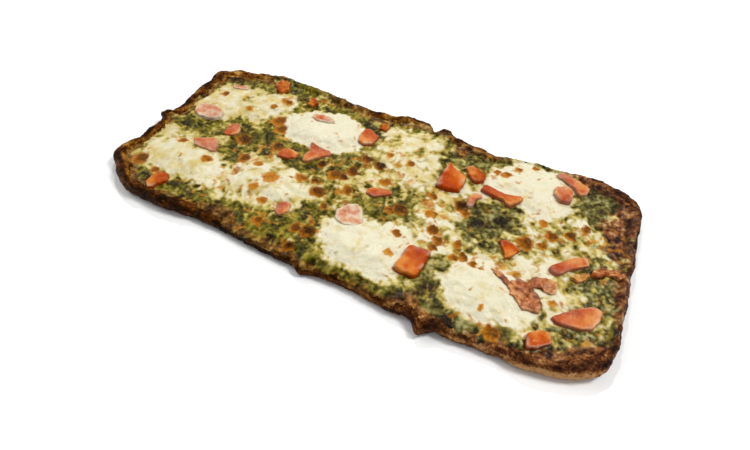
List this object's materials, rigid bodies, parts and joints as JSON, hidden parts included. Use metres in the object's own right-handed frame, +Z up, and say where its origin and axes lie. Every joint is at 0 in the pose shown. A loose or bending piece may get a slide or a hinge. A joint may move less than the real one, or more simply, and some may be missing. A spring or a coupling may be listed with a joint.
{
  "type": "margherita flatbread",
  "caption": "Long rounded flatbread spread with green pesto, with melted mozzarella pools, diced tomato and a low browned rim.",
  "frame": {"origin": "middle of the flat underside, below the middle of the whole box", "axes": "+X along the bread's length, +Y across it away from the side that faces the viewer, +Z up through the toppings"},
  "size_m": [0.3155, 0.1549, 0.014],
  "materials": {
    "crust": "dry baked dough, browned to dark brown at the rim",
    "pesto": "oily, chopped herbs with grains of melted cheese",
    "mozzarella": "smooth, soft sheen, browned blisters",
    "tomato": "moist flesh with a sheen"
  },
  "bodies": {
    "root": {"crust": "crust", "pesto": "pesto", "mozzarella_01": "mozzarella", "mozzarella_02": "mozzarella", "mozzarella_03": "mozzarella", "mozzarella_04": "mozzarella", "mozzarella_05": "mozzarella", "mozzarella_06": "mozzarella", "mozzarella_07": "mozzarella", "mozzarella_08": "mozzarella", "mozzarella_09": "mozzarella", "mozzarella_10": "mozzarella", "tomato_01": "tomato", "tomato_02": "tomato", "tomato_03": "tomato", "tomato_04": "tomato", "tomato_05": "tomato", "tomato_06": "tomato", "tomato_07": "tomato", "tomato_08": "tomato", "tomato_09": "tomato", "tomato_10": "tomato", "tomato_11": "tomato", "tomato_12": "tomato", "tomato_13": "tomato", "tomato_14": "tomato", "tomato_15": "tomato", "tomato_16": "tomato", "tomato_17": "tomato", "tomato_18": "tomato", "tomato_19": "tomato", "tomato_20": "tomato", "tomato_21": "tomato", "tomato_22": "tomato", "tomato_23": "tomato", "tomato_24": "tomato", "tomato_25": "tomato", "tomato_26": "tomato", "tomato_27": "tomato", "tomato_28": "tomato", "tomato_29": "tomato", "tomato_30": "tomato", "tomato_31": "tomato"}
  },
  "joints": []
}
